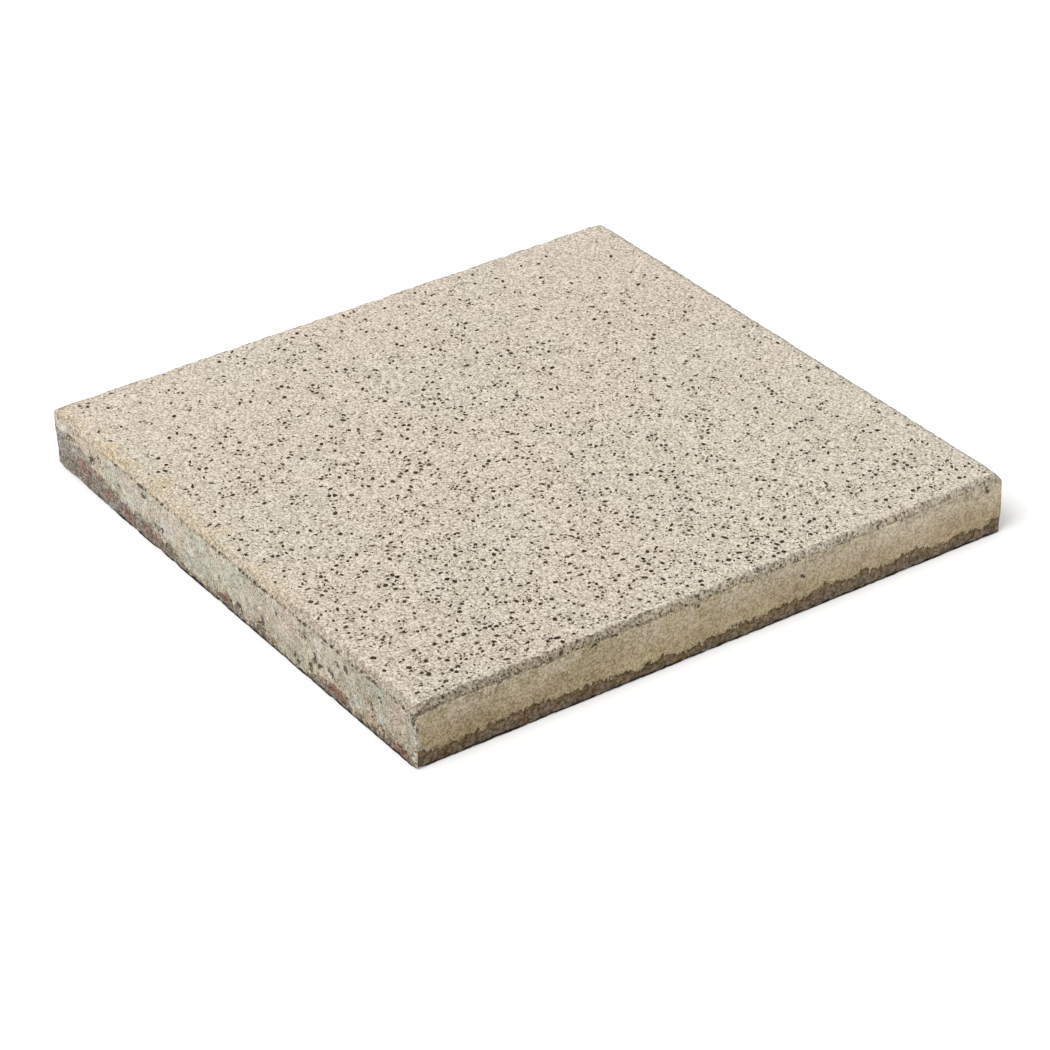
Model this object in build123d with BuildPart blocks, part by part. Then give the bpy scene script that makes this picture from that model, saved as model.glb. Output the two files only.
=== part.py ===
"""A square concrete paving slab, pressed in one piece and lying on its bed face."""

import os

from build123d import *

# Driving dimensions, in millimetres
slab_length = 400.0
slab_width = 400.0
slab_thickness = 40.0
# The upper arris is bevelled: it falls further down the side than it runs in on the walking face
bevel_width = 3.0
bevel_depth = 5.0
# The upright corners and the lower arris leave the mould nearly sharp
arris_radius = 1.5

# Sizes that follow from them
bevel_foot = slab_thickness - bevel_depth
walking_face_length = slab_length - 2 * bevel_width
walking_face_width = slab_width - 2 * bevel_width

# The origin is the middle of the bed face, with +Z up and the sides square to X and Y
with BuildPart() as slab:
    # The straight sides, from the bed face up to the foot of the bevel
    with BuildSketch():
        Rectangle(slab_length, slab_width)
    extrude(amount=bevel_foot)

    # The upright corners and the lower arris, eased together so that they blend
    upright_corners = slab.edges().filter_by(Axis.Z)
    lower_arris = slab.faces().sort_by(Axis.Z)[0].edges()
    fillet(upright_corners + lower_arris, arris_radius)

    # The bevel, carried round the corners to the walking face
    with BuildSketch(Plane.XY.offset(bevel_foot)):
        RectangleRounded(slab_length, slab_width, arris_radius)
    with BuildSketch(Plane.XY.offset(slab_thickness)):
        RectangleRounded(walking_face_length, walking_face_width, arris_radius)
    loft(ruled=True)

slab.part.label = "slab"
os.makedirs("parts", exist_ok=True)
export_step(slab.part, "parts/slab.step")
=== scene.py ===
"""A square concrete paving slab, lying on its bed face on a pale studio floor."""

import math

import bpy
import numpy as np
from mathutils import Matrix, Vector, kdtree, noise
from mathutils.geometry import delaunay_2d_cdt


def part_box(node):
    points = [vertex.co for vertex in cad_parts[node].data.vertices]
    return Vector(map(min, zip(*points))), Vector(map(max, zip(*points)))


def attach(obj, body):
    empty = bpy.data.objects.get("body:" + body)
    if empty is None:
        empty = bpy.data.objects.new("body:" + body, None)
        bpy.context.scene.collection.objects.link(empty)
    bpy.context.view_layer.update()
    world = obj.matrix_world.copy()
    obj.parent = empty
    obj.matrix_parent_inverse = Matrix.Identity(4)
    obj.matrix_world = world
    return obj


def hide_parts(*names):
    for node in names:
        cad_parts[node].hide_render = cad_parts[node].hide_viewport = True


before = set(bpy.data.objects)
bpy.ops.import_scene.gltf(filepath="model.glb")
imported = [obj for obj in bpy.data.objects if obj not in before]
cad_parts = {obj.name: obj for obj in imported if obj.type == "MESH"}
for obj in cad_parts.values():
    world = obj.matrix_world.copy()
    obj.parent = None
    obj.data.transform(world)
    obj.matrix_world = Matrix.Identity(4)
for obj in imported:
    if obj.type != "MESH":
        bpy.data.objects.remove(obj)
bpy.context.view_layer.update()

# The mould: the slab is pressed in a steel mould, which gives it straight sides, a bevelled upper arris
# and nearly sharp upright corners. Every surface of the slab follows this outline, in millimetres.
MM = 0.001
low, high = (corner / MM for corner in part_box("slab"))
half_side = high.x
thickness = high.z - low.z
bevel_width = 3.0
bevel_depth = 5.0
corner_radius = 1.5
column_count = 210
column_jitter = 0.6
corner_steps = 4
chance = np.random.default_rng(40)

# One entry for each column round the mould, from the front left corner on by way of front, right, back
# and left. Places on the plan are complex numbers: x is the real part and y the imaginary one.
reach, facing, share, side = [], [], [], []
for number in range(4):
    run = 1j**number
    out = -1j * run
    steps = np.linspace(-1, 1, column_count + 1)
    steps[1:-1] += chance.uniform(-column_jitter, column_jitter, column_count - 1) / column_count
    bends = np.arange(1, corner_steps) / corner_steps
    reach += [*(steps * run + out), *np.full(len(bends), run + out)]
    facing += [*np.full(len(steps), out), *(out * np.exp(0.5j * math.pi * bends))]
    share += [*steps, *(1 + bends / column_count)]
    side += [number] * (len(steps) + len(bends))
reach, facing, share, side = map(np.array, (reach, facing, share, side))
columns = len(reach)


def ring(inset):
    """The outline's columns, set in from the mould by so many millimetres."""
    return (half_side - inset - corner_radius) * reach + corner_radius * facing


def places(inset, height):
    """One row of points round the slab, at that inset and height."""
    plan = ring(inset)
    return np.column_stack([plan.real, plan.imag, np.broadcast_to(height, columns)])


lump_gain = 1.6
lump_shift = Vector((17.3, 5.1, 9.7))


def lumps(points, size, seed):
    """Smooth random values from about -1 to 1 at points in millimetres, in lumps of about that size."""
    shift = lump_shift * seed
    return lump_gain * np.array([noise.noise(Vector(point) / size + shift) for point in points])


def waves(points, *layers):
    """Lumps of several sizes on top of each other. Each layer is a height, a size and a seed."""
    return sum(height * lumps(points, size, seed) for height, size, seed in layers)


# The sides: the face mix fills the upper part, and the backing mix shows below it along a ragged line,
# a little set back. The heights of that line are given evenly along each side.
backing_heights = (
    [13, 9, 9, 10, 9, 12, 11, 11, 12, 10, 10, 9, 9, 8, 7, 7, 9, 6, 7, 8, 9]
    + [8, 9, 10, 9, 10, 9, 12, 12, 9, 12, 9, 10, 11, 11, 9, 9, 10, 9, 10, 12],
    [11, 9, 8, 8, 10, 9, 7, 8, 10, 9, 8, 10, 11, 9, 8, 10, 10],
    [9, 8, 9, 11, 10, 12, 10, 8, 10, 11, 13, 11, 12, 15, 18, 20, 24],
    [27, 26, 25, 22, 18, 15, 14, 12, 14, 14, 10, 8, 5, 4, 4, 5, 9]
    + [6, 3, 8, 4, 2, 1, 3, 6, 10, 9, 5, 4, 5, 8, 8, 4],
)
backing_lowest = 1.8
backing_highest = 27.0
face_rows = 11
backing_rows = 5
lip = 0.35
set_back = 0.2
washed_depth = 0.7
bevel_foot = thickness - bevel_depth

outline = places(0, bevel_foot)
backing_line = np.zeros(columns)
for number, heights in enumerate(backing_heights):
    spots = np.linspace(-1, 1, len(heights))
    here = side == number
    backing_line[here] = np.interp(share[here], spots, heights)
backing_line += waves(outline, (0.6, 9, 1), (1.2, 5, 2), (0.9, 2.6, 3))
backing_line = np.clip(backing_line, backing_lowest, backing_highest)

# Marks on the two sides that show, listed one by one: the side, the place along it, the height, and half
# the length and half the height of each mark.
front, left = 0, 3
marks = {
    "rust": (
        (left, 168, 14, 13, 4), (left, 150, 19, 9, 5), (left, 138, 9, 8, 4), (left, 112, 6, 8, 4),
        (left, 86, 6, 12, 4), (left, 45, 5, 4, 3), (left, 1, 7, 5, 4), (left, -16, 8, 3, 3),
        (left, -118, 6, 18, 5), (left, -181, 5, 14, 5), (front, -182, 4, 9, 3), (front, -130, 5, 6, 5),
        (front, -90, 4, 12, 3), (front, 36, 6, 7, 3), (front, 70, 8, 7, 4), (front, 125, 8, 6, 2.5),
    ),
    "pale": (
        (left, 185, 30, 10, 4), (left, 112, 16, 8, 4), (left, 120, 13, 4, 3), (left, 96, 20, 7, 4),
        (left, 66, 19, 12, 6), (left, 40, 18, 6, 4), (left, -143, 14, 9, 6), (left, -166, 15, 6, 4),
        (left, -195, 12, 7, 8), (left, -197, 25, 4, 9), (front, -198.5, 12, 2.5, 10),
        (front, -190, 9, 4, 3),
    ),
    "dark": (
        (left, 198, 22, 2.5, 9), (left, 181, 27, 7, 2), (left, 188, 24, 5, 2.5), (left, 155, 24, 4, 3.5),
        (left, 144, 15, 5, 2.5), (left, 144, 29, 3, 2), (left, 122, 21, 3, 2.5), (left, 91, 30, 3, 2),
        (left, 78, 15, 3, 2.5), (left, 72, 16, 3, 4), (left, 64, 8, 5, 2.5), (left, -16, 8.5, 4, 3),
        (left, -40, 8, 5, 3), (left, -42, 13, 2.5, 2), (left, -58, 25.5, 2.5, 2.5),
        (left, -78, 7.5, 4, 2.5), (left, -87, 25.5, 5, 2.2), (left, -93, 9.5, 2.2, 4),
        (left, -98, 17, 2.5, 4), (left, -103, 15, 5, 2), (left, -115, 16, 5, 2.5),
        (left, -122, 26, 2.5, 2), (left, -131, 27.5, 3, 2), (left, -156, 16.5, 2.5, 3),
        (left, -165, 9, 4, 2), (left, -165, 26.5, 2.5, 2), (left, -199.3, 31, 1.2, 5),
        (front, -199.4, 28, 1.3, 9), (front, -69, 37, 7, 3), (front, -84, 33, 2, 2),
        (front, -16, 33, 2, 2), (front, 22, 34, 2, 2), (front, 57, 24, 1.6, 1.6),
        (front, 189, 32, 2, 2),
    ),
}
dent = 0.8


def strength(name, row):
    """How strongly one kind of mark lies on a row of the sides: 1 in its middle and 0 from its rim on."""
    along = np.where(side % 2 == 0, row[:, 0], row[:, 1])
    strongest = np.zeros(columns)
    for number, place, height, half_length, half_height in marks[name]:
        off = ((along - place) / half_length) ** 2 + ((row[:, 2] - height) / half_height) ** 2
        strongest = np.maximum(strongest, np.where(side == number, 1 - off, 0))
    return strongest


# The upright corners keep truer than the sides between them.
calm_reach = 8.0
calm_least = 0.25
calm = np.clip((1 - abs(share)) * half_side / calm_reach, calm_least, 1)
rows = []


def add_row(inset, height, rough, size):
    """Keeps one more row of the sides, roughened inwards by lumps of that size."""
    seed = 10 + len(rows)
    plain = places(inset, height)
    worn = rough * calm * (0.5 + waves(plain, (0.5, size, 4), (0.3, size / 2.5, seed)))
    rows.append(places(inset + np.clip(worn, 0, None) + dent * calm * strength("dark", plain), height))


def nearness(x_sign, y_sign, fade):
    """1 at one upright corner of the slab, falling off round it within that many millimetres."""
    away = np.hypot(outline[:, 0] - x_sign * half_side, outline[:, 1] - y_sign * half_side)
    return np.exp(-((away / fade) ** 2))


# How pale and weathered each side is, from the clean, rubbed front to the left, which has a pale bloom.
side_bloom = (0.0, 0.25, 0.6, 1.0)
bloom = np.array(side_bloom)[side]

# The bevel: its upper arris is worn and its foot sags in waves. It narrows at the left corner.
bevel_parts = (0.33, 0.67)
narrowing = 0.65
narrowing_fade = 10.0
bevel_share = 1 - narrowing * nearness(-1, 1, narrowing_fade)
width_here = bevel_width * bevel_share
depth_here = bevel_depth * bevel_share
arris_wear = bevel_share * np.clip(0.25 + waves(outline, (0.35, 3, 5), (0.5, 10, 6)), 0, None)
arris_height = thickness - 0.7 * washed_depth - 0.4 * arris_wear
add_row(width_here + arris_wear, arris_height, rough=0.3, size=2.0)
bevel_sag = (1 - 0.75 * bloom) * calm * waves(outline, (0.6, 30, 17), (0.35, 9, 18))
for part in bevel_parts:
    add_row(width_here * (1 - part), thickness - (depth_here + bevel_sag) * part, rough=0.6, size=2.2)
foot_wear = np.clip(0.4 * lumps(outline, 4, 7), 0, None)
bevel_line = thickness - depth_here - bevel_sag - 0.5 * foot_wear
add_row(foot_wear, bevel_line, rough=0.25, size=2.5)

# The face mix below the bevel, down to a small lip over the backing mix.
side_rough = 0.25 + 0.35 * bloom
for part in np.linspace(0, 1, face_rows + 1)[1:]:
    add_row(0, bevel_line + (backing_line + lip - bevel_line) * part, side_rough, size=5)

# The backing mix and the foot: the lower arris is broken in waves, and at the left corner and at the
# nearest one the foot is worn up from the ground.
lower_arris = np.clip(0.6 + waves(outline, (0.5, 9, 8), (0.4, 3, 9)), 0.25, None)
lower_arris *= 1 - 0.65 * bloom
lower_arris += 0.35 * bloom * np.clip(lumps(outline, 26, 19), 0, None)
foot_inset = 0.5 * (1 - bloom)
left_lift = 1.3
left_lift_start = 120.0
left_lift_fade = 50.0
back_lift_end = -170.0
back_lift_fade = 28.0
front_lift = 1.2
front_lift_fade = 5.0
near_left_corner = np.clip((outline[:, 1] - left_lift_start) / left_lift_fade, 0, 1)
near_left_corner *= np.clip((back_lift_end - outline[:, 0]) / back_lift_fade, 0, 1)
foot_waves = waves(outline, (0.55, 14, 11), (0.4, 4, 12))
foot_lift = np.clip((1 + 0.8 * bloom) * foot_waves - 0.2, 0, None)
foot_lift += left_lift * near_left_corner + front_lift * nearness(-1, -1, front_lift_fade)
foot_lift = np.minimum(foot_lift, backing_line - 4 * lip)
backing_top = backing_line - lip
backing_foot = np.minimum(0.6 * lower_arris + foot_lift, backing_line - 2 * lip)
for part in np.linspace(0, 1, backing_rows + 1):
    height_here = backing_top + (backing_foot - backing_top) * part
    add_row(set_back + foot_inset * part, height_here, rough=0.7, size=3.5)
foot_inset += set_back
add_row(foot_inset + 0.35 * lower_arris, 0.25 * lower_arris + foot_lift, rough=0.3, size=4.5)
add_row(foot_inset + 1.1 * lower_arris, foot_lift, rough=0.2, size=4.5)
side_points = np.concatenate(rows)
row_count = len(rows)

# The walking face: washed while fresh, so that the sand and a dark grit stand bare. Grains of grit rise
# out of the sand as high as the mould let them, and some have been lost and left a pit.
grit_count = 5950
grit_radius = 0.73
grit_spread = 0.41
grit_limits = (0.5, 1.45)
grit_stretch = 2.0
grit_gap = 0.1
grit_margin = 1.3
cluster_share = 0.45
cluster_slack = 0.5
raised_share = 0.7
kept_middle = 0.63
kept_least = 0.17
kept_patches = 0.1
patch_size = 38.0
bare_strip = 15.0
smallest_far = 0.98
larger_near = 0.0006
rim_points = 5
rim_steps = (0.55, 0.8, 1.1)
flat_radius = 0.9
flat_share = 0.68
walking_half = half_side - bevel_width


def kept_share(x, y):
    """The share of thrown grains that stay at a place: most towards the front, few by the left arris."""
    kept = kept_middle - 0.0006 * x - 6.5e-6 * x * x - 0.0012 * y
    kept = max(kept_least, kept + kept_patches * noise.noise(Vector((x, y, 0)) / patch_size))
    return kept * min(1, max(0.5, (x + half_side) / bare_strip))


def throw_grit():
    """Grains at random places that don't touch, singly and in clusters: x, y, radius and half length."""
    grains = []
    cells = {}
    cell = 4.0
    while len(grains) < grit_count:
        radius = float(np.clip(grit_radius * math.exp(grit_spread * chance.normal()), *grit_limits))
        stretch = 1 + grit_stretch * chance.random() ** 2
        length = radius * math.sqrt(stretch)
        room = walking_half - grit_margin - length
        x, y = chance.uniform(-room, room, 2)
        if grains and chance.random() < cluster_share:
            near = grains[chance.integers(len(grains))]
            way = chance.uniform(0, 2 * math.pi)
            distance = near[3] + length + grit_gap + cluster_slack * chance.random()
            x, y = near[0] + distance * math.cos(way), near[1] + distance * math.sin(way)
        larger = max(smallest_far, 1 - larger_near * (x + y))
        radius, length = radius * larger, length * larger
        if max(abs(x), abs(y)) > room or chance.random() > kept_share(x, y):
            continue
        home = (int(x // cell), int(y // cell))
        around = [(home[0] + i, home[1] + j) for i in (-1, 0, 1) for j in (-1, 0, 1)]
        others = [grain for spot in around for grain in cells.get(spot, ())]
        if any(math.hypot(x - g[0], y - g[1]) < length + g[3] + grit_gap for g in others):
            continue
        grain = (x, y, radius, length)
        grains.append(grain)
        cells.setdefault(home, []).append(grain)
    return grains


def socket_points(grain):
    """The rim of one grain's socket and the points inside it: plan places and depths below the sand."""
    x, y, radius, length = grain
    width = radius * radius / length
    rim = rim_points + sum(radius > step for step in rim_steps)
    way = chance.uniform(0, 2 * math.pi)
    turns = 2 * math.pi * (np.arange(rim) + chance.uniform(-0.2, 0.2, rim)) / rim
    swell = chance.uniform(0.72, 1.2, rim)
    shape = (length * np.cos(turns) + 1j * width * np.sin(turns)) * swell * np.exp(1j * way)
    raised = chance.random() < raised_share
    depth = radius * chance.uniform(0.3, 0.8)
    if raised:
        depth = -min(1.2 * depth, 0.95 * washed_depth)
    plan = [shape]
    depths = [np.zeros(rim)]
    if radius > flat_radius:
        plan.append(flat_share * shape * np.exp(0.2j))
        depths.append(np.full(rim, 0.88 * depth))
    plan.append(np.zeros(1, complex))
    depths.append(np.array([depth]))
    return x + 1j * y + np.concatenate(plan), np.concatenate(depths)


grains = throw_grit()
grain_tree = kdtree.KDTree(len(grains))
for index, grain in enumerate(grains):
    grain_tree.insert((grain[0], grain[1], 0), index)
grain_tree.balance()

# The sand between the grains: points on a loose grid that keep clear of the sockets' rims.
sand_spacing = 2.6
sand_jitter = 0.38
sand_margin = 1.5
arris_clearance = 1.6
rim_margin = 0.7
rim_search = 2.6
sand_unevenness = 0.06
mould_clearance = 0.01


def loose_grid(limit, spacing, jitter):
    """Points on a square grid within the limit, each moved at random by a share of the spacing."""
    steps = np.arange(-limit, limit + 1, spacing)
    grid = (steps[:, None] + 1j * steps[None, :]).ravel()
    along = chance.uniform(-jitter, jitter, grid.size)
    across = chance.uniform(-jitter, jitter, grid.size)
    return grid + spacing * (along + 1j * across)


def clear_of_grit(spot):
    """Whether a point of the sand keeps clear of every socket's rim."""
    near = grain_tree.find_range((spot.real, spot.imag, 0), rim_search)
    return all(distance > grains[index][3] + rim_margin for _, index, distance in near)


def filled(rim, inner):
    """The triangles that fill a rim of columns by way of the points inside it."""
    flat = [Vector(point[:2]) for point in np.concatenate([rim, inner])]
    return np.array(delaunay_2d_cdt(flat, [], [list(range(columns))], 1, 1e-7)[2])


sand = loose_grid(walking_half - sand_margin, sand_spacing, sand_jitter)
sand = sand[np.maximum(abs(sand.real), abs(sand.imag)) < walking_half - arris_clearance]
sand = sand[[clear_of_grit(spot) for spot in sand]]
face_plan, face_depth, face_owner = [sand], [np.zeros(sand.size)], [np.full(sand.size, -1)]
for index, grain in enumerate(grains):
    plan, depths = socket_points(grain)
    face_plan.append(plan)
    face_depth.append(depths)
    face_owner.append(np.full(plan.size, index))
face_plan, face_depth, face_owner = map(np.concatenate, (face_plan, face_depth, face_owner))
face_flat = np.column_stack([face_plan.real, face_plan.imag, np.zeros(face_plan.size)])
unevenness = waves(face_flat, (sand_unevenness, 55, 13), (sand_unevenness, 4, 14))
unevenness += chance.uniform(-sand_unevenness, sand_unevenness, face_plan.size)
face_height = thickness - washed_depth + unevenness - face_depth
face_height = np.minimum(face_height, thickness - mould_clearance)
face_points = np.column_stack([face_plan.real, face_plan.imag, face_height])
face_triangles = filled(rows[0], face_points)

# The bed face: struck off level at the back of the mould, so it is flat, open and coarse.
bed_spacing = 9.0
bed_jitter = 0.3
bed_margin = 7.0
bed_deepest = 0.8
bed = loose_grid(half_side - bed_margin, bed_spacing, bed_jitter)
bed_points = np.column_stack([bed.real, bed.imag, np.zeros(bed.size)])
bed_points[:, 2] = np.clip(waves(bed_points, (0.35, 20, 15), (0.2, 8, 16)), 0, bed_deepest)
bed_triangles = filled(rows[-1], bed_points)

# The slab's mesh: all its surfaces are one closed skin, because it was pressed as one piece. The corners of
# the walking face are worn down a little, each by its own amount.
points = np.concatenate([side_points, face_points, bed_points])
corner_wear = {(-1, -1): 0.9, (1, -1): 0.9, (1, 1): 1.3, (-1, 1): 1.9}
wear_fade = 9.0
wear_floor = 25.0
crease_angle = math.radians(38)
for (x_sign, y_sign), wear in corner_wear.items():
    away = np.hypot(points[:, 0] - x_sign * half_side, points[:, 1] - y_sign * half_side)
    upper = np.clip((points[:, 2] - wear_floor) / (thickness - wear_floor), 0, 1)
    points[:, 2] -= wear * upper * np.exp(-((away / wear_fade) ** 2))
face_start = len(side_points)
bed_start = face_start + len(face_points)
last_row = (row_count - 1) * columns
top_triangles = np.where(face_triangles < columns, face_triangles, face_triangles - columns + face_start)
under_triangles = np.where(
    bed_triangles < columns, bed_triangles + last_row, bed_triangles - columns + bed_start
)
under_triangles = under_triangles[:, ::-1]
column = np.arange(columns)
after = (column + 1) % columns
side_quads = []
for row in range(row_count - 1):
    upper_row = row * columns
    lower_row = upper_row + columns
    side_quads.append(
        np.column_stack([upper_row + column, lower_row + column, lower_row + after, upper_row + after])
    )
side_quads = np.concatenate(side_quads)
faces = top_triangles.tolist() + side_quads.tolist() + under_triangles.tolist()
slab_mesh = bpy.data.meshes.new("paving_slab")
slab_mesh.from_pydata((points * MM).tolist(), [], faces)
slab = bpy.data.objects.new("paving_slab", slab_mesh)
bpy.context.scene.collection.objects.link(slab)

# Which finish each face wears: the washed face, the pressed sides and the bed face.
bevel_rows = len(bevel_parts) + 1
finish_of = np.concatenate(
    [
        np.zeros(len(top_triangles) + bevel_rows * columns, int),
        np.full((row_count - 1 - bevel_rows) * columns, 1),
        np.full(len(under_triangles), 2),
    ]
)
slab_mesh.polygons.foreach_set("material_index", finish_of.astype(np.int32))
slab_mesh.shade_smooth()
slab_mesh.set_sharp_from_angle(angle=crease_angle)
edge_ends = np.zeros(2 * len(slab_mesh.edges), np.int32)
slab_mesh.edges.foreach_get("vertices", edge_ends)
on_arris = (edge_ends.reshape(-1, 2) < columns).all(1)
for index in np.flatnonzero(on_arris):
    slab_mesh.edges[index].use_edge_sharp = False

# The unwrapped skin: the walking face takes most of the square, the sides lie along two of its edges
# as strips, and the bed face has the corner that is left.
skin = slab_mesh.uv_layers.new(name="OFBake")
margin = 0.008
face_span = 0.822
strip_start = face_span + 2 * margin
strip_span = 0.072
strip_drop = 44.0
flat_steps = np.abs(np.diff(np.append(ring(0), ring(0)[0])))
travel = np.concatenate([[0], np.cumsum(flat_steps)])
side_start = np.array([travel[np.argmax(side == number)] for number in range(4)])
side_length = travel[-1] / 4
drop = np.zeros((row_count, columns))
for row in range(1, row_count):
    drop[row] = drop[row - 1] + np.linalg.norm(rows[row] - rows[row - 1], axis=1)
face_uv = margin + face_span * (0.5 + points[top_triangles.ravel(), :2] / (2 * half_side))
corner_columns = np.tile(np.column_stack([column, column, column + 1, column + 1]), (row_count - 1, 1))
corner_side = np.tile(side, row_count - 1)[:, None]
lengthwise = margin + face_span * (travel[corner_columns] - side_start[corner_side]) / side_length
drops = drop[side_quads // columns, side_quads % columns]
crosswise = strip_start + (strip_span + margin) * (corner_side // 2) + strip_span * drops / strip_drop
upright = corner_side % 2 == 1
side_uv = np.stack([np.where(upright, crosswise, lengthwise), np.where(upright, lengthwise, crosswise)], 2)
bed_span = 1 - margin - strip_start
bed_uv = strip_start + bed_span * (0.5 + points[under_triangles.ravel(), :2] / (2 * half_side))
skin_places = np.concatenate([face_uv, side_uv.reshape(-1, 2), bed_uv])
skin.uv.foreach_set("vector", skin_places.ravel().astype(np.float32))

# What the finishes read from the mesh: each grain's own tone, darker for the larger grains, and on the
# sides the heights above the two lines, the bloom and the marks.
small_radius = 0.4
radius_range = 0.8
grain_size = np.clip((np.array(grains)[:, 2] - small_radius) / radius_range, 0, 1)
grain_tone = np.clip(chance.random(len(grains)) - 0.58 + 0.87 * grain_size, 0, 1)
owners = np.concatenate([np.full(columns, -2), face_owner])[face_triangles]
same = (owners[:, 0] == owners[:, 1]) & (owners[:, 1] == owners[:, 2]) & (owners[:, 0] >= 0)
tones = np.where(same, 0.1 + 0.9 * grain_tone[np.clip(owners[:, 0], 0, None)], 0.0)
face_tones = np.concatenate([tones, np.zeros(len(side_quads) + len(under_triangles))])
grit_layer = slab_mesh.attributes.new("grit", "FLOAT", "FACE")
grit_layer.data.foreach_set("value", face_tones.astype(np.float32))

# Each layer's values on the sides, and its one value on the walking face and on the bed face.
layers = {
    "above_backing": (np.concatenate([row[:, 2] - backing_line for row in rows]), 30, -10),
    "above_foot": (np.concatenate([row[:, 2] - bevel_line for row in rows]), bevel_depth, -bevel_foot),
    "bloom": (np.tile(bloom, row_count), 0.5, 0.5),
}
for name in marks:
    layers[name] = (np.concatenate([strength(name, row) for row in rows]), 0, 0)
for name, (values, on_face, on_bed) in layers.items():
    values = np.concatenate([values, np.full(len(face_points), on_face), np.full(len(bed_points), on_bed)])
    slab_mesh.attributes.new(name, "FLOAT", "POINT").data.foreach_set("value", values.astype(np.float32))


# The finishes: three surfaces of the one concrete, each built up from noise that is laid out on the slab in
# millimetres. Their colours are chosen as they show on screen.
def screen(*tones):
    """A colour given as it shows on screen, from 0 to 255, as linear light."""
    return (*[((tone / 255 + 0.055) / 1.055) ** 2.4 for tone in tones], 1.0)


class Finish:
    """One finish of the concrete. Each call adds a node and gives back its output."""

    sheen = 0.08

    def __init__(self, name, warmth):
        self.warmth = Vector(warmth)
        self.material = bpy.data.materials.new(name)
        self.material.use_nodes = True
        self.tree = self.material.node_tree
        self.shader = self.tree.nodes["Principled BSDF"]
        metres = self.add("TexCoord", {}, "Object")
        self.place = self.add("VectorMath", {"Vector": metres, "Scale": 1 / MM}, operation="SCALE")

    def add(self, kind, inputs, output=0, **settings):
        """Adds a node, links or sets its inputs and gives one of its outputs."""
        node = self.tree.nodes.new("ShaderNode" + kind)
        for name, value in settings.items():
            setattr(node, name, value)
        for name, value in inputs.items():
            if isinstance(value, bpy.types.NodeSocket):
                self.tree.links.new(value, node.inputs[name])
            else:
                node.inputs[name].default_value = value
        return node.outputs[output]

    def moved(self, place, by):
        """The place on the slab, moved along by a vector."""
        return self.add("VectorMath", {0: place, 1: by}, operation="ADD")

    def stretched(self, x, y, z):
        """The place on the slab with its axes scaled, for streaks."""
        return self.add("VectorMath", {0: self.place, 1: (x, y, z)}, operation="MULTIPLY")

    def cloud(self, size, detail=2.0, place=None, seed=0.0):
        """Soft noise from 0 to 1 in patches of about that many millimetres."""
        spot = self.moved(place or self.place, (seed, 3 * seed, 7 * seed))
        return self.add("TexNoise", {"Vector": spot, "Scale": 1 / size, "Detail": detail})

    def sway(self, size, detail, seed, reach, spread=0.2):
        """Soft noise that swings from minus to plus that reach."""
        return self.ease(self.cloud(size, detail, seed=seed), 0.5 - spread, 0.5 + spread, -reach, reach)

    def cells(self, size, place=None):
        """Grains of about that many millimetres: the way out from each one's middle, and its own value."""
        distance = self.add("TexVoronoi", {"Vector": place or self.place, "Scale": 1 / size})
        tint = self.add("SeparateColor", {"Color": distance.node.outputs["Color"]}, "Red")
        return distance, tint

    def ease(self, value, start, end, low=0.0, high=1.0):
        """Runs smoothly from low to high as the value goes from start to end."""
        inputs = {"Value": value, "From Min": start, "From Max": end, "To Min": low, "To Max": high}
        return self.add("MapRange", inputs, interpolation_type="SMOOTHSTEP")

    def sum(self, first, second):
        """One value added to another."""
        return self.add("Math", {0: first, 1: second}, operation="ADD")

    def less(self, first, second):
        """The first value with the second taken away."""
        return self.add("Math", {0: first, 1: second}, operation="SUBTRACT")

    def times(self, first, second):
        """One value multiplied by another."""
        return self.add("Math", {0: first, 1: second}, operation="MULTIPLY")

    def most(self, first, second):
        """The larger of two values."""
        return self.add("Math", {0: first, 1: second}, operation="MAXIMUM")

    def unsigned(self, value):
        """The value without its sign."""
        return self.add("Math", {0: value}, operation="ABSOLUTE")

    def mix(self, share, first, second):
        """Goes from the first colour to the second by the share."""
        inputs = {0: share, 6: first, 7: second}
        return self.add("Mix", inputs, 2, data_type="RGBA")

    def tinted(self, colour, tint):
        """The colour multiplied by a tint, channel by channel."""
        return self.add("VectorMath", {0: colour, 1: tint}, operation="MULTIPLY")

    def shade(self, colour, value):
        """The colour made lighter or darker by a factor. Blue falls off the most, which keeps the hue."""
        linked = isinstance(colour, bpy.types.NodeSocket)
        rest = Vector((1, 1, 1)) - self.warmth
        factor = self.add("VectorMath", {0: value, 1: self.warmth, 2: rest}, operation="MULTIPLY_ADD")
        factor = self.add("VectorMath", {0: factor, 1: (0.03, 0.03, 0.03)}, operation="MAXIMUM")
        return self.tinted(colour if linked else colour[:3], factor)

    def axis(self, letter):
        """The place along one axis, in millimetres."""
        return self.add("SeparateXYZ", {"Vector": self.place}, letter)

    def layer(self, name):
        """A value carried by the mesh."""
        return self.add("Attribute", {}, "Fac", attribute_name=name)

    def by_side(self, on_front, on_left):
        """A value that goes with the bloom, from the clean front to the weathered left side."""
        return self.ease(self.layer("bloom"), 0, 1, on_front, on_left)

    def done(self, colour, height, roughness):
        """Joins the colour, the relief in millimetres and the roughness to the shader."""
        normal = self.add("Bump", {"Height": height, "Distance": MM, "Strength": 1.0})
        self.tree.links.new(colour, self.shader.inputs["Base Color"])
        self.tree.links.new(normal, self.shader.inputs["Normal"])
        self.tree.links.new(roughness, self.shader.inputs["Roughness"])
        self.shader.inputs["Specular IOR Level"].default_value = self.sheen
        slab_mesh.materials.append(self.material)


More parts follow.
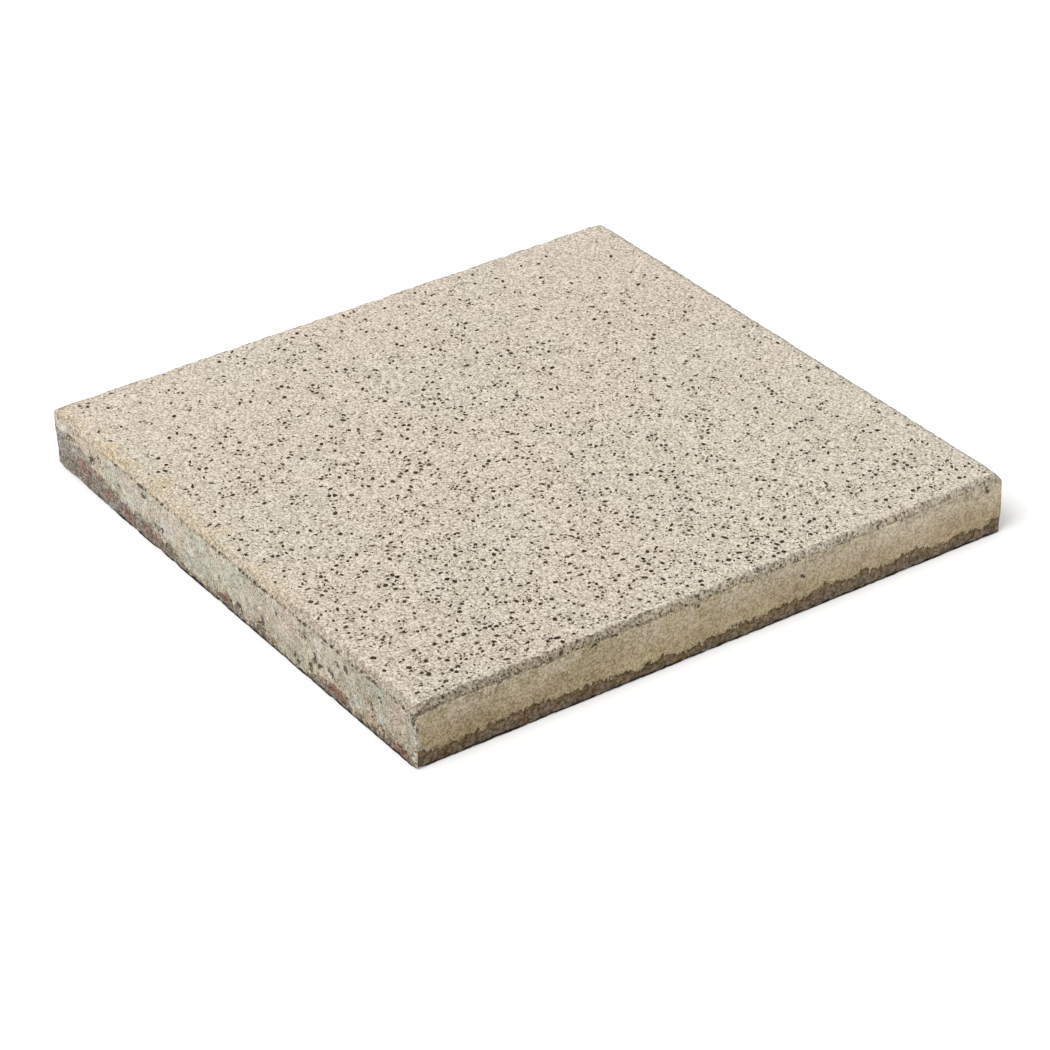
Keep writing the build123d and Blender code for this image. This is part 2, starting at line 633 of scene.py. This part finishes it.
def sandy(finish, size, contrast):
    """Bare sand: how light each grain is, with the lower binder between the grains painted darker as shade,
    and their relief.
    """
    out_from_middle, tint = finish.cells(size)
    between = finish.ease(out_from_middle, 0.42, 0.78)
    fine = finish.cloud(0.45 * size, 2.0, seed=3.0)
    light = finish.ease(tint, 0.0, 1.0, -0.18, 0.18)
    # Painted shade: the binder between the grains is darkened as the low gaps would be in shade.
    light = finish.sum(light, finish.ease(between, 0, 1, 0.07, -0.34))
    light = finish.sum(light, finish.ease(fine, 0.25, 0.75, -0.22, 0.22))
    relief = finish.sum(finish.ease(between, 0, 1, 0.0, -0.25), finish.times(fine, 0.2))
    return finish.sum(finish.times(light, contrast), 1.0), relief


def specks(finish, size, radius, share, seed):
    """Small dark specks: 1 inside them and 0 elsewhere, one to a cell for a share of the cells."""
    wobble = finish.add("TexNoise", {"Vector": finish.place, "Scale": 1.1}, "Color")
    place = finish.moved(finish.moved(finish.place, wobble), (seed, 2 * seed, 3 * seed))
    out_from_middle, tint = finish.cells(size, place)
    inside = finish.ease(out_from_middle, radius / size * 1.3, radius / size * 0.7)
    return finish.times(inside, finish.ease(tint, share + 0.05, share))


def lodged(finish):
    """How much dirt has lodged along the arrises: it fades out towards the right and the left corner."""
    ends = finish.ease(finish.axis("X"), -80, 90, 1.0, 0.15)
    patches = finish.ease(finish.cloud(22, seed=27.0), 0.38, 0.58, 0.25, 1.0)
    fading = finish.times(finish.by_side(0.65, 1.0), finish.ease(finish.axis("Y"), 100, 180, 1.0, 0.35))
    return finish.times(finish.times(ends, patches), fading)


def dotted_line(finish, value, middle, half_width, seed):
    """A broken dark line where the value is near the middle: 1 in its dots and 0 elsewhere."""
    away = finish.unsigned(finish.less(value, middle))
    dots = finish.ease(finish.cloud(2.4, 2.0, seed=seed), 0.47, 0.55)
    return finish.times(finish.ease(away, half_width, 0.3 * half_width), dots)


# The finish of the walking face: pale sand in two tones, with darker blots and thin crooked crevices.
# Painted light: it is a little darker towards the nearest corner and the far one, and lighter at the back.
sand_warm = screen(231, 217, 200)
sand_pale = screen(228, 218, 201)
grit_mid = screen(118, 106, 86)
grit_brown = screen(92, 79, 60)
grit_black = screen(68, 58, 44)
far_corner = 2 * half_side

washed = Finish("washed_face", (0.95, 1.0, 1.09))
light, sand_relief = sandy(washed, 1.6, 0.8)
from_middle = washed.sum(washed.axis("X"), washed.axis("Y"))
blot = washed.ease(washed.cloud(1.8, 3.0, seed=2.0), 0.52, 0.68, 0.0, -0.16)
blot = washed.times(blot, washed.ease(from_middle, -far_corner, 0, 1.7, 1.0))
crevice = washed.unsigned(washed.less(washed.cloud(3.4, 1.0, seed=31.0), 0.5))
broken = washed.ease(washed.cloud(3.0, 1.0, seed=33.0), 0.50, 0.57)
crevice = washed.times(washed.ease(crevice, 0.040, 0.018), broken)
toward_front = washed.ease(washed.axis("Y"), half_side, -half_side, -0.06, 0.06)
paler = washed.ease(washed.sum(washed.cloud(70), toward_front), 0.36, 0.64)
colour = washed.mix(paler, sand_warm, sand_pale)
tone_and_painted_light = washed.sway(9, 2.0, 5.0, 0.012)
# Painted light: darker towards the nearest and the far corner, lighter towards the back, with a soft random
# tone.
tone_and_painted_light = washed.sum(tone_and_painted_light, washed.ease(from_middle, -far_corner, -120, -0.04, 0.0))
tone_and_painted_light = washed.sum(tone_and_painted_light, washed.ease(washed.axis("Y"), 60, half_side, 0.0, 0.02))
tone_and_painted_light = washed.sum(tone_and_painted_light, washed.ease(from_middle, 0, far_corner, 0.0, -0.035))
colour = washed.shade(colour, washed.sum(washed.sum(light, blot), tone_and_painted_light))
colour = washed.mix(washed.times(crevice, 0.5), colour, grit_mid)
colour = washed.mix(washed.times(specks(washed, 2.4, 0.55, 0.3, 5.0), 0.4), colour, grit_mid)

# The bevel is washed too. At the front it is darker and browner: dirt lodges in it, and painted shade
# falls on it away from the lamp. Yellow stains lie along the left side; the right arris has weathered grey.
stain_yellow = screen(218, 192, 146)
pore_dark = screen(70, 61, 47)
bevel_tan = screen(201, 185, 156)
shade_and_dirt_tint = (0.73, 0.705, 0.65)
grey_tint = (0.83, 0.87, 0.93)

far_out = washed.most(washed.unsigned(washed.axis("X")), washed.unsigned(washed.axis("Y")))
uneven = washed.sway(3.0, 3.0, 9.0, 1.0)
inward = washed.sum(washed.less(half_side, far_out), uneven)
on_bevel = washed.ease(inward, bevel_width + 1.3, bevel_width - 0.3)
# Dirt and painted shade: strongest at the front, which faces away from the lamp, and fading to the right.
dirt_and_shade = washed.times(washed.by_side(1.0, 0.2), washed.ease(washed.axis("X"), -100, half_side, 1.0, 0.55))
near_left = washed.sum(washed.axis("X"), washed.sway(16, 2.0, 8.0, 8))
patches = washed.ease(washed.cloud(26, seed=7.0), 0.40, 0.60, 0.15, 0.5)
stain = washed.times(washed.ease(near_left, 16 - half_side, 3 - half_side), patches)
stain = washed.times(stain, washed.ease(washed.axis("Y"), -150, 60))
colour = washed.mix(stain, colour, washed.shade(stain_yellow, light))
# Painted shade and dirt: the front of the bevel is made darker and browner.
colour = washed.mix(washed.times(on_bevel, dirt_and_shade), colour, washed.tinted(colour, shade_and_dirt_tint))
merging = washed.sum(washed.layer("above_foot"), washed.sway(3.0, 3.0, 29.0, 1.8))
merging = washed.times(washed.ease(merging, 2.8, 0.0), washed.by_side(0.8, 0.0))
colour = washed.mix(merging, colour, washed.shade(bevel_tan, light))
right_arris = washed.ease(washed.sum(washed.axis("X"), uneven), walking_half - 3.2, walking_half - 1.2)
colour = washed.mix(right_arris, colour, washed.tinted(colour, grey_tint))
nearest = washed.ease(from_middle, -far_corner, -180, -0.2, 0.0)
colour = washed.shade(colour, washed.sum(washed.times(nearest, on_bevel), 1.0))
bevel_specks = washed.most(specks(washed, 1.7, 0.55, 0.55, 11.0), specks(washed, 3.4, 0.95, 0.4, 13.0))
bevel_specks = washed.most(bevel_specks, specks(washed, 7.0, 1.25, 0.45, 15.0))
bevel_specks = washed.times(bevel_specks, washed.times(on_bevel, washed.ease(dirt_and_shade, 0, 1, 0.35, 1.0)))
upper_line = washed.times(dotted_line(washed, inward, 3.2, 0.9, 21.0), dirt_and_shade)
lower_line = dotted_line(washed, washed.layer("above_foot"), 0.2, 1.1, 23.0)
lines = washed.times(washed.most(upper_line, lower_line), lodged(washed))
lines = washed.most(lines, bevel_specks)
colour = washed.mix(washed.times(lines, 0.9), colour, pore_dark)
grit = washed.layer("grit")
grit_colour = washed.mix(washed.ease(grit, 0.30, 0.45), grit_mid, grit_brown)
grit_colour = washed.mix(washed.ease(grit, 0.50, 0.65), grit_colour, grit_black)
is_grit = washed.ease(grit, 0.02, 0.06)
relief = washed.less(sand_relief, washed.times(lines, 0.4))
washed.done(washed.mix(is_grit, colour, grit_colour), relief, washed.ease(is_grit, 0, 1, 0.92, 0.75))

# The finish of the sides: smooth where the face mix ran against the mould, with clouds of straw and dull
# tan on the front, and a pale bloom in green, straw and rose on the left.
face_mix_upper = screen(247, 230, 203)
face_mix_lower = screen(216, 194, 158)
face_mix_straw = screen(221, 203, 162)
face_mix_dull = screen(230, 208, 180)
face_mix_worn = screen(190, 177, 155)
bloom_colour = screen(217, 207, 189)
bloom_green = screen(210, 208, 190)
bloom_straw = screen(223, 206, 178)
bloom_rose = screen(222, 206, 190)
bloom_white = screen(230, 230, 219)
painted_lip_highlight = screen(236, 216, 184)

sides = Finish("pressed_sides", (0.92, 1.0, 1.18))
height = sides.axis("Z")
bloom_here = sides.layer("bloom")


def mark(name, size, seed):
    """One kind of mark, with its edge broken up by noise."""
    strength = sides.layer(name)
    broken = sides.sum(strength, sides.sway(size, 3.0, seed, 0.8, 0.25))
    return sides.times(sides.ease(broken, 0.2, 0.7), sides.ease(strength, 0, 0.3))


drift = sides.cloud(22, 2.0, seed=12.0)
tan = sides.mix(sides.ease(height, 14, 33), face_mix_lower, face_mix_upper)
tan = sides.mix(sides.ease(drift, 0.46, 0.30, 0.0, 0.75), tan, face_mix_straw)
tan = sides.mix(sides.ease(drift, 0.54, 0.70, 0.0, 0.55), tan, face_mix_dull)
patchy = sides.cloud(9, 3.0, seed=19.0)
tan = sides.mix(sides.ease(patchy, 0.46, 0.32, 0.0, 0.55), tan, face_mix_straw)
tan = sides.mix(sides.ease(patchy, 0.54, 0.68, 0.0, 0.4), tan, face_mix_dull)
hue = sides.cloud(28, 2.0, seed=16.0)
pale = sides.mix(sides.ease(hue, 0.48, 0.35), bloom_colour, bloom_green)
pale = sides.mix(sides.ease(hue, 0.52, 0.65), pale, bloom_rose)
pale = sides.mix(sides.ease(sides.cloud(34, 2.0, seed=36.0), 0.5, 0.62, 0.0, 0.35), pale, bloom_straw)
colour = sides.mix(bloom_here, tan, pale)
light, sand_relief = sandy(sides, 1.4, sides.by_side(0.78, 0.92))
mottle = sides.sway(4.5, 5.0, 0.0, 0.14)
wide = sides.sway(40, 2.0, 18.0, 0.072, 0.15)
rain_washed = sides.times(sides.ease(height, 8, 30, -0.04, 0.06), bloom_here)
along_sides = sides.sum(sides.axis("X"), sides.axis("Y"))
at_corner = sides.times(sides.ease(along_sides, -far_corner, -330, -0.10, 0.0), sides.by_side(1.0, 0.1))
from_corner = sides.sum(sides.ease(along_sides, -far_corner, 0, -0.06, 0.08), at_corner)
light = sides.sum(light, sides.times(mottle, sides.by_side(0.6, 1.4)))
light = sides.sum(light, sides.sum(wide, sides.sum(rain_washed, from_corner)))
colour = sides.mix(sides.times(mark("pale", 4, 41.0), 0.75), colour, bloom_white)
ragged = sides.times(sides.sway(3.2, 3.0, 14.0, 3.2, 0.3), sides.by_side(0.5, 1.2))
teeth = sides.ease(sides.cloud(1.6, 2.0, sides.stretched(1, 1, 0.4), 20.0), 0.3, 0.7, -1.4, 1.4)
above = sides.sum(sides.sum(sides.layer("above_backing"), ragged), teeth)
# Painted highlight: a pale cream band along the lip just over the backing mix.
colour = sides.mix(sides.ease(above, 2.6, 0.6, 0.0, 0.45), colour, painted_lip_highlight)
colour = sides.shade(colour, light)

# Pores and voids open in the sides, most of them on the left, and dirt marks the foot of the bevel.
pore = sides.most(specks(sides, 5.0, 0.9, 0.35, 3.0), sides.times(specks(sides, 2.6, 0.6, 0.4, 8.0), 0.8))
pore = sides.times(pore, sides.by_side(0.06, 0.8))
void = sides.times(mark("dark", 2, 43.0), 0.85)
lower_line = dotted_line(sides, sides.layer("above_foot"), -0.1, 1.5, 23.0)
lower_line = sides.times(lower_line, lodged(sides))
reached = sides.sum(height, sides.ease(sides.axis("X"), 0, half_side, 0.0, 2.5))
reached = sides.sum(reached, sides.sway(2.5, 3.0, 9.0, 2.5))
near_bevel = sides.ease(reached, bevel_foot - 3.5, bevel_foot + 1)
scars = sides.most(specks(sides, 2.0, 0.5, 0.5, 15.0), specks(sides, 3.4, 0.9, 0.35, 17.0))
scarred = sides.ease(sides.cloud(18, 2.0, seed=28.0), 0.42, 0.58, 0.25, 0.85)
scars = sides.times(scars, sides.times(near_bevel, scarred))
worn = sides.times(near_bevel, sides.by_side(0.4, 0.0))
colour = sides.mix(worn, colour, sides.shade(face_mix_worn, light))
pits = sides.most(sides.most(pore, void), sides.most(lower_line, scars))
colour = sides.mix(pits, colour, pore_dark)

# The backing mix is coarse and darker, with reddish patches. Just under the lip it is painted dark brown as
# its shadow, and painted shade makes a dark line along the ground.
painted_lip_shadow = screen(124, 102, 70)
backing_brown = screen(163, 140, 110)
backing_grey = screen(152, 137, 118)
backing_pale = screen(168, 161, 151)
backing_rust = screen(160, 120, 105)
backing_umber = screen(158, 145, 132)
painted_foot_shade = screen(58, 51, 44)

is_backing = sides.ease(sides.times(above, sides.by_side(0.6, 0.35)), 0.3, -0.3)
# Painted shadow: dark brown just under the lip of the face mix, fading out within about 2 mm.
brown = sides.mix(sides.ease(above, -0.4, -2.2), painted_lip_shadow, backing_brown)
brown = sides.mix(sides.ease(above, -2.0, -6.0), brown, backing_grey)
weathered = sides.mix(sides.ease(sides.cloud(16, 3.0, seed=47.0), 0.4, 0.6), backing_pale, backing_umber)
grey = sides.mix(sides.ease(above, -0.2, -1.5), backing_brown, weathered)
rough_mix = sides.mix(bloom_here, brown, grey)
rusted = sides.times(mark("rust", 4, 45.0), sides.by_side(0.45, 0.8))
rough_mix = sides.mix(rusted, rough_mix, backing_rust)
crumb_light, crumb_relief = sandy(sides, 2.2, 1.0)
crumbs = sides.times(sides.sway(4, 4.0, 8.0, 1.0, 0.25), sides.by_side(0.24, 0.42))
crumbs = sides.sum(sides.sum(crumbs, 1.0), sides.ease(height, 5, 22, 0.0, 0.5))
crumbs = sides.sum(crumbs, from_corner)
rough_mix = sides.shade(rough_mix, sides.times(crumbs, crumb_light))
colour = sides.mix(is_backing, colour, rough_mix)
# Painted shade: the lowest 2 mm or so of the sides are darkened into a dark line along the ground.
foot_shade_share = sides.ease(sides.sum(height, sides.sway(5, 2.0, 25.0, 0.7)), 2.0, 0.7)
colour = sides.mix(foot_shade_share, colour, painted_foot_shade)
relief = sides.less(sides.times(sand_relief, 0.6), sides.times(pits, 0.5))
relief = sides.sum(relief, sides.times(crumb_relief, sides.times(is_backing, 2.0)))
sides.done(colour, relief, sides.ease(mottle, -0.14, 0.14, 0.95, 0.85))

# The finish of the bed face: the backing mix alone.
under = Finish("bed_face", (0.92, 1.0, 1.15))
colour = under.mix(under.ease(under.cloud(12, 5.0), 0.35, 0.65), backing_brown, backing_grey)
# Painted shade: each grain is darker towards its edge, as in the gaps between the grains.
colour = under.shade(colour, under.ease(under.cells(2.5)[0], 0.0, 0.8, 1.15, 0.8))
relief = under.times(under.cloud(2.5, 4.0), 0.6)
under.done(colour, relief, under.ease(under.cloud(5), 0.3, 0.7, 0.88, 0.98))

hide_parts("slab")
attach(slab, "root")

# The floor: a plain pale studio floor that goes white in the picture and keeps the slab's soft shadow.
# It lies a hair below the slab, so that the two don't share a plane.
floor_half = 12.0
floor_drop = 0.2 * MM
floor_grey = (0.35, 0.35, 0.34, 1)
floor_white = (0.9, 0.9, 0.9, 1)
floor_glow = 0.22
floor_mesh = bpy.data.meshes.new("floor")
floor_corners = [(-1, -1, 0), (1, -1, 0), (1, 1, 0), (-1, 1, 0)]
floor_mesh.from_pydata([[floor_half * v for v in corner] for corner in floor_corners], [], [(0, 1, 2, 3)])
floor = bpy.data.objects.new("floor", floor_mesh)
floor.location.z = -floor_drop
bpy.context.scene.collection.objects.link(floor)


def seen(tree):
    """1 where the camera, a reflection or clear glass sees the surface, and 0 where it lights others."""
    path = tree.nodes.new("ShaderNodeLightPath")
    found = path.outputs["Is Camera Ray"]
    for ray in ("Is Glossy Ray", "Is Transmission Ray"):
        either = tree.nodes.new("ShaderNodeMath")
        either.operation = "MAXIMUM"
        tree.links.new(found, either.inputs[0])
        tree.links.new(path.outputs[ray], either.inputs[1])
        found = either.outputs[0]
    return found


floor_paint = bpy.data.materials.new("floor_paint")
floor_paint.use_nodes = True
paint = floor_paint.node_tree
paint.nodes.clear()
plain = paint.nodes.new("ShaderNodeBsdfDiffuse")
plain.inputs["Color"].default_value = floor_grey
white = paint.nodes.new("ShaderNodeBsdfDiffuse")
white.inputs["Color"].default_value = floor_white
glow = paint.nodes.new("ShaderNodeEmission")
glow.inputs["Strength"].default_value = floor_glow
lit = paint.nodes.new("ShaderNodeAddShader")
paint.links.new(white.outputs[0], lit.inputs[0])
paint.links.new(glow.outputs[0], lit.inputs[1])
choice = paint.nodes.new("ShaderNodeMixShader")
paint.links.new(seen(paint), choice.inputs[0])
paint.links.new(plain.outputs[0], choice.inputs[1])
paint.links.new(lit.outputs[0], choice.inputs[2])
result = paint.nodes.new("ShaderNodeOutputMaterial")
paint.links.new(choice.outputs[0], result.inputs["Surface"])
floor_mesh.materials.append(floor_paint)

# The light: an even pale sky, and one broad lamp high over the left side.
sky_strength = 0.5
backdrop_strength = 1.0
lamp_from = Vector((-0.57, -0.13, 0.81))
lamp_strength = 1.95
lamp_breadth = math.radians(35)
world = bpy.data.worlds.new("studio")
world.use_nodes = True
bpy.context.scene.world = world
sky = world.node_tree
sky.nodes.clear()
even = sky.nodes.new("ShaderNodeBackground")
even.inputs["Strength"].default_value = sky_strength
backdrop = sky.nodes.new("ShaderNodeBackground")
backdrop.inputs["Strength"].default_value = backdrop_strength
for light_node in (even, backdrop):
    light_node.inputs["Color"].default_value = (1, 1, 1, 1)
choice = sky.nodes.new("ShaderNodeMixShader")
sky.links.new(seen(sky), choice.inputs[0])
sky.links.new(even.outputs[0], choice.inputs[1])
sky.links.new(backdrop.outputs[0], choice.inputs[2])
result = sky.nodes.new("ShaderNodeOutputWorld")
sky.links.new(choice.outputs[0], result.inputs["Surface"])

lamp_data = bpy.data.lights.new("lamp", "SUN")
lamp_data.energy = lamp_strength
lamp_data.angle = lamp_breadth
lamp = bpy.data.objects.new("lamp", lamp_data)
lamp.rotation_euler = lamp_from.to_track_quat("Z", "Y").to_euler()
bpy.context.scene.collection.objects.link(lamp)

# The camera: a long lens, a little rolled, looking down on the nearest corner.
azimuth = math.radians(-32.85)
elevation = math.radians(31.44)
roll = math.radians(-2.224)
distance = 2.2827
off_centre = (0.00337, -0.01636)
camera_data = bpy.data.cameras.new("camera")
camera_data.sensor_width = 36.0
camera_data.lens = 132.89
camera = bpy.data.objects.new("camera", camera_data)
flat_reach = math.cos(elevation)
back = Vector((math.sin(azimuth) * flat_reach, -math.cos(azimuth) * flat_reach, math.sin(elevation)))
level = Vector((0, 0, 1)).cross(back).normalized()
upward = back.cross(level)
right = math.cos(roll) * level + math.sin(roll) * upward
up = -math.sin(roll) * level + math.cos(roll) * upward
stand = off_centre[0] * right + off_centre[1] * up + distance * back
camera.matrix_world = Matrix.Translation(stand) @ Matrix((right, up, back)).transposed().to_4x4()
bpy.context.scene.collection.objects.link(camera)
bpy.context.scene.camera = camera
bpy.context.scene.view_settings.view_transform = "Standard"
